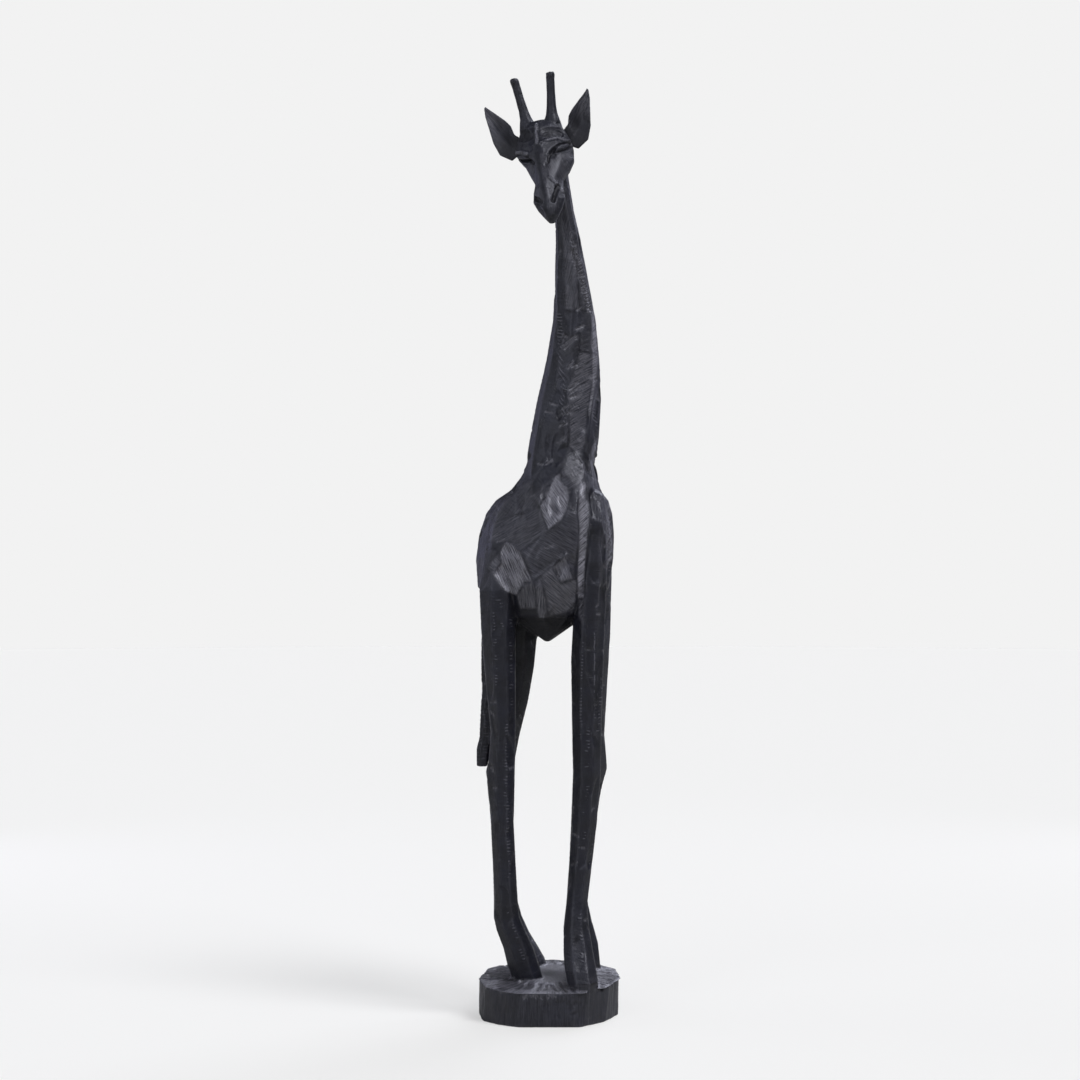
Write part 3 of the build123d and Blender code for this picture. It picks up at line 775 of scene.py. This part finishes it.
def carveHead(shape):
    block = Block(roughedOut("carvedHead", "head", shape))
    yaw, roll = math.radians(shape["yaw"]), math.radians(shape["roll"])
    ahead = np.array([-math.sin(yaw), -math.cos(yaw), 0.0])      # the head's own forward and up
    up = np.array([-math.sin(roll) * math.cos(yaw), math.sin(roll) * math.sin(yaw), math.cos(roll)])
    above = (block.p - np.array(shape["origin"])) @ up
    x, z = block.p[:, 0], block.p[:, 2]
    facing = np.clip((block.n @ ahead) * 2.2 + 0.1, 0, 1)   # 1 on the face, 0 behind it
    lift = np.zeros(len(x))

    def band(points, width):  # 1 on a broken line drawn on the face, 0 from width away
        best = np.full(len(x), 1e9)
        for start, end in zip(points, points[1:]):
            best = np.minimum(best, awayFrom(x, z, start, end))
        return np.clip(1 - (best / width) ** 2, 0, 1)

    def slit(points, width, depth):
        shade = band(points, width)
        block.paintedShade = np.maximum(block.paintedShade, shade * facing)
        return -depth * shade

    def bowl(cx, cz, wide, high, depth, shade):
        d = np.clip(1 - ((x - cx) / wide) ** 2 - ((z - cz) / high) ** 2, 0, 1)
        block.paintedShade = np.maximum(block.paintedShade, shade * np.sqrt(d) * facing)
        return -depth * d

    def almond(cx, cz, halfLong, halfHigh, tilt, height, rimDepth):  # an eye inside its lids, with shade painted along them
        c, s = math.cos(math.radians(tilt)), math.sin(math.radians(tilt))
        a = ((x - cx) * c + (z - cz) * s) / halfLong
        b = (-(x - cx) * s + (z - cz) * c) / halfHigh
        d = np.sqrt(np.abs(a) ** 1.7 + b ** 2)
        rim = np.exp(-((d - 1.15) / 0.22) ** 2)
        block.paintedShade = np.maximum(block.paintedShade, rim * facing)
        return height * np.clip(1 - d ** 2, 0, 1) - rimDepth * rim

    for cx, cz, wide, high in shape["cheeks"]:      # rubbed smooth before the face is cut
        share = np.clip(1.5 - 1.5 * (((x - cx) / wide) ** 2 + ((z - cz) / high) ** 2), 0, 1)
        block.soften(40, 0.5 * share * facing)
    for hollowShade in shape["hollows"]:
        lift += bowl(*hollowShade)
    lift += 2.0 * band(shape["crest"], 2.6)
    lift += 1.6 * band(shape["noseBridge"], 7.0)
    lift += 2.2 * band(shape["leftBrow"], 2.8)
    lift += 2.4 * band(shape["rightBrow"], 3.4)
    for eye in shape["eyes"]:
        lift += almond(*eye)
    for cut in shape["slits"]:
        lift += slit(*cut)
    lift += 1.3 * band(shape["muzzleEdge"], 1.8)
    block.p += block.n * (lift * facing)[:, None]
    # a highlight painted along the ridges' tops and beside the nose bridge
    edges = band(shape["muzzleEdge"], 1.6)
    for name, width, share in (("crest", 1.8, 0.8), ("leftBrow", 1.8, 0.5), ("rightBrow", 2.2, 0.9),
                               ("noseHighlight", 3.5, 0.35)):
        edges = np.maximum(edges, share * band(shape[name], width))
    block.paintedHighlight = 0.7 * edges * facing
    for flat in shape["flats"]:
        block.facet(*flat, flatten=0.3)
    block.chatter[:] = shape["chatter"]
    block.soften(1)
    chance = np.random.default_rng(shape["seed"])
    block.paredAllOver(chance, shape["smallFlats"], 0.06, (0.08, 0.2), (3, 6))
    tips = above > shape["hornEnds"]
    rough = np.clip((above[tips] - shape["hornEnds"]) / 10, 0, 1)
    rough *= 0.7 * softNoise(block.p[tips], (1.6, 1.6, 3.0), 9)
    block.p[tips] -= block.n[tips] * rough[:, None]
    return handedOver(block, "head", headWood, shape)


head = carveHead(headShape)
print("stage: head carved,", len(head.data.polygons), "faces")


earShape = {
    "voxel": 0.55,      # mm
    "rounding": 22,
    "grooves": 30,      # on each side of the blade
    "chatter": 0.15,
    "scallops": (2.2, 0.05, 9.0, 13),
    "arrisContrast": 1.6,
    "crispAngle": 45,   # degrees
    "seed": 31,
}


def carveEar(side, shape):
    block = Block(roughedOut("ear" + side, "ear_" + side.lower(), shape))
    chance = np.random.default_rng(shape["seed"] + (side == "Left"))
    low, high = block.p.min(axis=0), block.p.max(axis=0)
    # the knife ran from the root to the tip, so shallow grooves follow the blade
    sign = 1 if side == "Left" else -1
    rootX = low[0] if sign > 0 else high[0]
    root = np.array([rootX, (low[1] + high[1]) / 2, low[2] + 0.25 * (high[2] - low[2])])
    tip = block.p[np.argmax(block.p[:, 2])]
    for k in range(shape["grooves"]):
        t0, t1 = chance.uniform(0.1, 0.45), chance.uniform(0.6, 1.0)
        offset = chance.uniform(-9, 9) * np.array([sign * 0.7, 0, -0.7])
        start = root + (tip - root) * t0 + offset * (1 - 0.6 * t0)
        end = root + (tip - root) * t1 + offset * (1 - t1)
        start[1] = end[1] = low[1] + 2
        block.gouge(start, end, 1.4, chance.uniform(0.15, 0.4))
        start[1] = end[1] = high[1] - 2
        block.gouge(start, end, 1.6, chance.uniform(0.15, 0.4))
    # painted shade in the cup near the root, and a painted highlight towards the blade's tip
    outward = np.clip((block.p - root) @ unit(tip - root) / np.linalg.norm(tip - root), 0, 1)
    front = np.clip(-block.n[:, 1] * 1.5, 0, 1)
    block.paintedShade = np.maximum(block.paintedShade, front * np.clip(1.25 - 2.6 * outward, 0, 1))
    block.paintedHighlight = front * 0.45 * np.clip((outward - 0.35) * 2.5, 0, 1)
    block.chatter[:] = shape["chatter"]
    block.lean[:] = math.degrees(math.atan2(tip[0] - root[0], tip[2] - root[2]))
    return handedOver(block, "ear_" + side.lower(), earWood, shape)


for side in ("Left", "Right"):
    ear = carveEar(side, earShape)
    print("stage: ear carved,", side, len(ear.data.polygons), "faces")


tailShape = {
    "voxel": 0.9,          # mm
    "rounding": 2,
    "smallFlats": 110,
    "tuftTop": 300.0,      # mm, where the tuft's strands begin
    "strands": 22,
    "scallops": (4.5, 0.3, 16.0, 17),
    "arrisContrast": 3.0,
    "crispAngle": 40,      # degrees
    "seed": 41,
}


def carveTail(shape):
    block = Block(roughedOut("carvedTail", "tail", shape))
    chance = np.random.default_rng(shape["seed"])
    block.paredAllOver(chance, shape["smallFlats"], 0.07, (0.15, 0.4), (6, 14))
    foot = block.p[:, 2].min()
    middle = block.p[block.p[:, 2] < shape["tuftTop"]].mean(axis=0)
    for k in range(shape["strands"]):
        turn = 2 * math.pi * k / shape["strands"]
        out = np.array([math.cos(turn) * 8, math.sin(turn) * 9, 0])
        start = np.array([middle[0], middle[1], shape["tuftTop"] - chance.uniform(0, 12)]) + out * 0.8
        end = np.array([middle[0], middle[1], foot - 2]) + out * 1.1
        block.gouge(start, end, 1.5, chance.uniform(0.4, 0.9))
    return handedOver(block, "tail", tailWood, shape)


tail = carveTail(tailShape)
print("stage: tail carved,", len(tail.data.polygons), "faces")

for name in ("neck_dowel", "ear_pin_left", "ear_pin_right", "tail_pin"):
    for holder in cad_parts[name].material_slots:
        holder.material = pinWood
print("stage: pegs finished")


setting = {
    "paper": "#b2b1a9",
    "paperGlow": 0.50,       # added where only the camera sees it, so that the paper doesn't light the wood
    "room": "#f2f2f2",
    "roomLight": 0.10,       # how much of the room's brightness falls on the statue
    "floorRings": 24,
    "floorSpokes": 96,
    "floorReach": 9.0,       # m
    "floorDrop": 0.0003,     # m under the stump
    # suns: where from, strength, degrees across, colour
    "suns": {
        "keySun": ((1.2, -1.0, 2.0), 2.05, 26, "#f2f3ff"),
        "fillSun": ((-1.2, -2.0, 1.0), 0.6, 40, "#ebeeff"),
        "backSun": ((0.9, 1.8, 1.7), 1.3, 40, "#ebeeff"),
        "sideSun": ((-2.0, 0.3, 0.9), 0.35, 40, "#ebeeff"),
    },
    # strip lights behind the statue: place in m, colour
    "strips": {
        "leftStrip": ((-1.2, 1.3, 0.8), "#d4d4ff"),
        "rightStrip": ((1.2, 1.4, 0.9), "#e0e0ff"),
    },
    "stripSize": (0.3, 1.3),                 # m
    "stripPower": 1.8,                       # W
    "stripAim": (0, 0, 0.5),                 # m
    "cameraPlace": (-0.0085, -2.6, 0.502),   # m
    "lens": 81.7,                            # mm, on a 36 mm sensor
}


def paperFloor(look):  # a round sheet in rings, finer near the statue
    rings, spokes = look["floorRings"], look["floorSpokes"]
    turns = [2 * math.pi * s / spokes for s in range(spokes)]
    points = [(0, 0, 0)]
    for r in range(1, rings + 1):
        far = look["floorReach"] * (r / rings) ** 2
        points += [(far * math.cos(turn), far * math.sin(turn), 0) for turn in turns]
    sides = [(1 + s, 1 + (s + 1) % spokes) for s in range(spokes)]
    faces = [(0, a, b) for a, b in sides]
    for k in range(0, (rings - 1) * spokes, spokes):
        faces += [(a + k, a + k + spokes, b + k + spokes, b + k) for a, b in sides]
    mesh = bpy.data.meshes.new("floor")
    mesh.from_pydata(points, [], faces)
    floor = bpy.data.objects.new("floor", mesh)
    bpy.context.scene.collection.objects.link(floor)
    floor.location.z = -look["floorDrop"]
    # matt white studio paper, lit so evenly that it has no edge
    paper = bpy.data.materials.new("mattPaper")
    tree = clearedTree(paper)
    seen = addNode(tree, "ShaderNodeLightPath").outputs["Is Camera Ray"]
    extra = addNode(tree, "ShaderNodeMath", {0: seen, 1: look["paperGlow"]}, operation="MULTIPLY")
    matt = addNode(tree, "ShaderNodeBsdfDiffuse", {"Color": linear(look["paper"])})
    glow = addNode(tree, "ShaderNodeEmission", {"Strength": extra})
    both = addNode(tree, "ShaderNodeAddShader", {0: matt, 1: glow})
    addNode(tree, "ShaderNodeOutputMaterial", {"Surface": both})
    mesh.materials.append(paper)


def buildSetting(look):
    scene = bpy.context.scene
    scene.view_settings.view_transform = "Standard"
    paperFloor(look)

    world = bpy.data.worlds.new("room")
    tree = clearedTree(world)
    seen = addNode(tree, "ShaderNodeLightPath").outputs["Is Camera Ray"]
    strength = addNode(tree, "ShaderNodeMapRange", {
        "Value": seen, "To Min": look["roomLight"], "To Max": 1.0})
    glow = addNode(tree, "ShaderNodeBackground", {"Color": linear(look["room"]), "Strength": strength})
    addNode(tree, "ShaderNodeOutputWorld", {"Surface": glow})
    scene.world = world

    def aimed(name, light, colour, place, aim):
        light.color = linear(colour)[:3]
        obj = bpy.data.objects.new(name, light)
        scene.collection.objects.link(obj)
        obj.location = place
        direction = Vector(aim) - Vector(place)
        obj.rotation_euler = direction.to_track_quat("-Z", "Y").to_euler()

    for name, (place, strength, spread, colour) in look["suns"].items():
        light = bpy.data.lights.new(name, "SUN")
        light.energy = strength
        light.angle = math.radians(spread)
        aimed(name, light, colour, place, (0, 0, 0))
    for name, (place, colour) in look["strips"].items():
        light = bpy.data.lights.new(name, "AREA")
        light.shape = "RECTANGLE"
        light.size, light.size_y = look["stripSize"]
        light.energy = look["stripPower"]
        aimed(name, light, colour, place, look["stripAim"])

    camera = bpy.data.cameras.new("camera")
    camera.lens = look["lens"]
    camera.sensor_width = 36
    cameraObject = bpy.data.objects.new("camera", camera)
    scene.collection.objects.link(cameraObject)
    cameraObject.location = look["cameraPlace"]
    cameraObject.rotation_euler = (math.radians(90), 0, 0)
    scene.camera = cameraObject


buildSetting(setting)
print("stage: floor, lights and camera set")
